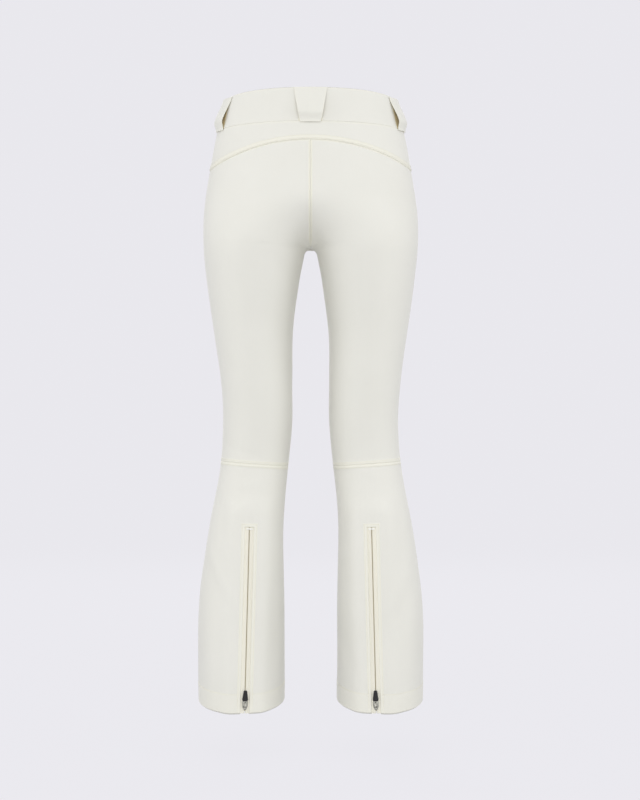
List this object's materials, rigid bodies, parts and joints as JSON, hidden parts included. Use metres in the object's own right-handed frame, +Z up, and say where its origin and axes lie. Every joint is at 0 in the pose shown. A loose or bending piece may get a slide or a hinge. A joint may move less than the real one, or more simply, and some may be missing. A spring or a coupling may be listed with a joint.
{
  "type": "ski pants",
  "caption": "Flared stretch softshell ski trousers, worn shape: waistband with belt loops, snap tab and fly, pockets, calf zips and inner snow gaiters.",
  "frame": {"origin": "middle of the waist opening, level with the waistband's top edge at the centre back", "axes": "+Z up the body, +Y to the wearer's back, +X to the wearer's left"},
  "size_m": [0.3774, 0.2351, 1.023],
  "materials": {
    "softshell": "matte four-way stretch twill softshell, off-white",
    "lining": "brushed tricot lining, off-white",
    "elastic": "knitted elastic with a grip strip",
    "zip_tape": "woven polyester tape with nylon coil, ivory",
    "zip_metal": "gunmetal-plated zinc, satin",
    "rubber_pull": "moulded black rubber, slightly glossy"
  },
  "bodies": {
    "trousers": {"back_yoke": "softshell", "waistband_back": "softshell", "waistband_front_right": "softshell", "waistband_front_left": "softshell", "waistband_facing": "lining", "belt_loop_center_back": "softshell", "belt_loop_side_left": "softshell", "belt_loop_side_right": "softshell", "belt_loop_front_left": "softshell", "belt_loop_front_right": "softshell", "snap_stud_upper": "zip_metal", "snap_stud_lower": "zip_metal", "calf_zip_tape_outer_left": "zip_tape", "calf_zip_tape_inner_left": "zip_tape", "calf_zip_stop_left": "zip_metal", "calf_zip_underlap_left": "softshell", "pocket_zip_tape_outer_left": "zip_tape", "pocket_zip_tape_inner_left": "zip_tape", "back_thigh_left": "softshell", "back_calf_left": "softshell", "front_leg_left": "softshell", "hem_facing_left": "lining", "snow_gaiter_left": "lining", "gaiter_elastic_left": "elastic", "pocket_bag_left": "lining", "calf_zip_tape_inner_right": "zip_tape", "calf_zip_tape_outer_right": "zip_tape", "calf_zip_stop_right": "zip_metal", "calf_zip_underlap_right": "softshell", "pocket_zip_tape_inner_right": "zip_tape", "pocket_zip_tape_outer_right": "zip_tape", "back_thigh_right": "softshell", "back_calf_right": "softshell", "front_leg_right": "softshell", "hem_facing_right": "lining", "snow_gaiter_right": "lining", "gaiter_elastic_right": "elastic", "pocket_bag_right": "lining", "fly_zip_tape_left": "zip_tape", "fly_zip_tape_right": "zip_tape", "fly_zip_stop": "zip_metal", "fly_shield": "lining"},
    "calf_zip_slider_body_left": {"calf_zip_slider_left": "zip_metal"},
    "calf_zip_pull_body_left": {"calf_zip_link_left": "zip_metal", "calf_zip_pull_left": "rubber_pull"},
    "calf_zip_slider_body_right": {"calf_zip_slider_right": "zip_metal"},
    "calf_zip_pull_body_right": {"calf_zip_link_right": "zip_metal", "calf_zip_pull_right": "rubber_pull"},
    "pocket_zip_slider_body_left": {"pocket_zip_slider_left": "zip_metal"},
    "pocket_zip_pull_body_left": {"pocket_zip_link_left": "zip_metal", "pocket_zip_pull_left": "rubber_pull"},
    "pocket_zip_slider_body_right": {"pocket_zip_slider_right": "zip_metal"},
    "pocket_zip_pull_body_right": {"pocket_zip_link_right": "zip_metal", "pocket_zip_pull_right": "rubber_pull"},
    "fly_zip_slider_body": {"fly_zip_slider": "zip_metal"},
    "fly_zip_pull_body": {"fly_zip_link": "zip_metal", "fly_zip_pull": "rubber_pull"},
    "waist_tab": {"waistband_tab": "softshell", "snap_cap_upper": "zip_metal", "snap_cap_lower": "zip_metal"}
  },
  "joints": [
    {"name": "calf_zip_slide_left", "type": "slide", "parent": "trousers", "child": "calf_zip_slider_body_left", "axis": [-0.0232, -0.0924, 0.9955], "range_m": [0, 0.2768]},
    {"name": "calf_zip_pull_hinge_left", "type": "hinge", "parent": "calf_zip_slider_body_left", "child": "calf_zip_pull_body_left", "pos_m": [0.10644, 0.10818, -1.00992], "axis": [-0.9862, -0.1614, -0.0379], "range_deg": [0, 170]},
    {"name": "calf_zip_slide_right", "type": "slide", "parent": "trousers", "child": "calf_zip_slider_body_right", "axis": [0.0232, -0.0924, 0.9955], "range_m": [0, 0.2768]},
    {"name": "calf_zip_pull_hinge_right", "type": "hinge", "parent": "calf_zip_slider_body_right", "child": "calf_zip_pull_body_right", "pos_m": [-0.10644, 0.10818, -1.00992], "axis": [-0.9862, 0.1614, 0.0379], "range_deg": [0, 170]},
    {"name": "pocket_zip_slide_left", "type": "slide", "parent": "trousers", "child": "pocket_zip_slider_body_left", "axis": [0.2224, 0.0588, -0.9732], "range_m": [0, 0.1239]},
    {"name": "pocket_zip_pull_hinge_left", "type": "hinge", "parent": "pocket_zip_slider_body_left", "child": "pocket_zip_pull_body_left", "pos_m": [0.09528, -0.09133, -0.10861], "axis": [-0.873, -0.4324, -0.2257], "range_deg": [0, 150]},
    {"name": "pocket_zip_slide_right", "type": "slide", "parent": "trousers", "child": "pocket_zip_slider_body_right", "axis": [-0.2224, 0.0588, -0.9732], "range_m": [0, 0.1239]},
    {"name": "pocket_zip_pull_hinge_right", "type": "hinge", "parent": "pocket_zip_slider_body_right", "child": "pocket_zip_pull_body_right", "pos_m": [-0.09528, -0.09133, -0.10861], "axis": [-0.873, 0.4324, 0.2257], "range_deg": [0, 150]},
    {"name": "fly_zip_slide", "type": "slide", "parent": "trousers", "child": "fly_zip_slider_body", "axis": [0, 0.0222, -0.9998], "range_m": [0, 0.1046]},
    {"name": "fly_zip_pull_hinge", "type": "hinge", "parent": "fly_zip_slider_body", "child": "fly_zip_pull_body", "pos_m": [-0.00591, -0.10046, -0.09187], "axis": [-0.9999, 0.015, 0.0003], "range_deg": [0, 5]},
    {"name": "waist_tab_hinge", "type": "hinge", "parent": "trousers", "child": "waist_tab", "pos_m": [-0.035, -0.10075, -0.05144], "axis": [0, -0.1292, -0.9916], "range_deg": [0, 110]}
  ]
}
